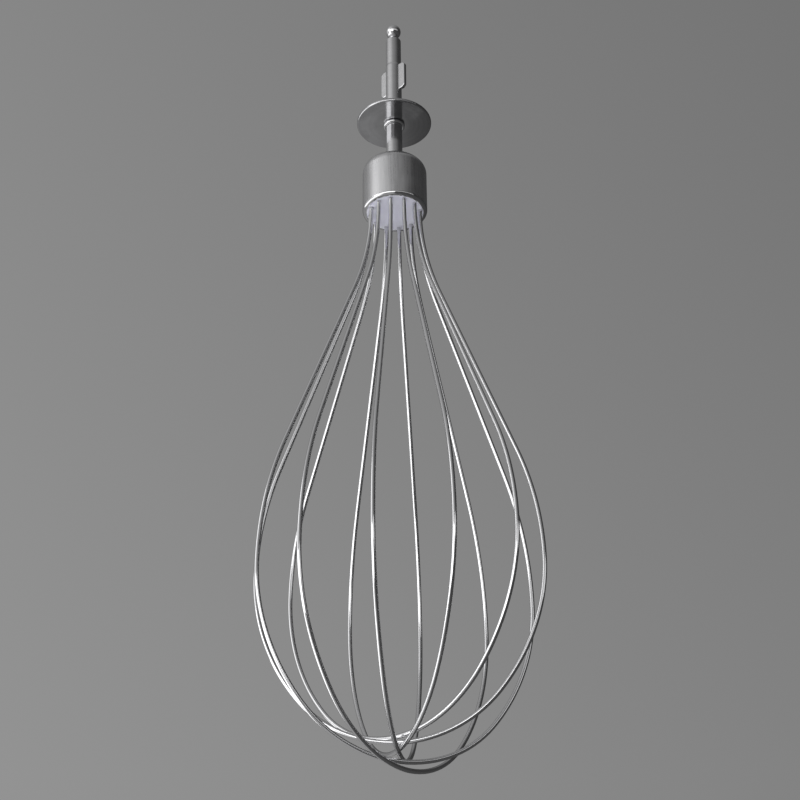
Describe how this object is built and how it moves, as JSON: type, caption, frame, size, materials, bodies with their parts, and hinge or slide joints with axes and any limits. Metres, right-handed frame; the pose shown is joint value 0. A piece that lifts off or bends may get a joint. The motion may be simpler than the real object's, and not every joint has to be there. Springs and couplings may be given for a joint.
{
  "type": "whisk attachment",
  "caption": "Balloon whisk attachment for a stick blender: nested wire loops held in a capped plastic plug, with a guard disc and a ball-tipped drive shaft.",
  "frame": {"origin": "on the shaft's axis, at the middle of the plain stretch of shank between the ball neck's shoulder and the wings", "axes": "+Z along the shaft towards its ball tip, so that the wire cage hangs down; -Y faces the picture's camera and +X is its right"},
  "size_m": [0.0812, 0.0812, 0.259],
  "materials": {
    "bright_steel": "turned and polished stainless steel",
    "satin_steel": "drawn stainless steel, satin around the wall and bright at the lip",
    "polished_wire": "polished stainless steel wire",
    "white_plastic": "moulded nylon, lilac white"
  },
  "bodies": {
    "root": {"drive_shaft": "bright_steel", "guard_disc": "bright_steel", "retaining_ring": "bright_steel", "ferrule_cap": "satin_steel", "wire_holder": "white_plastic", "wire_loop_1": "polished_wire", "wire_loop_2": "polished_wire", "wire_loop_3": "polished_wire", "wire_loop_4": "polished_wire", "wire_loop_5": "polished_wire", "wire_loop_6": "polished_wire"}
  },
  "joints": []
}
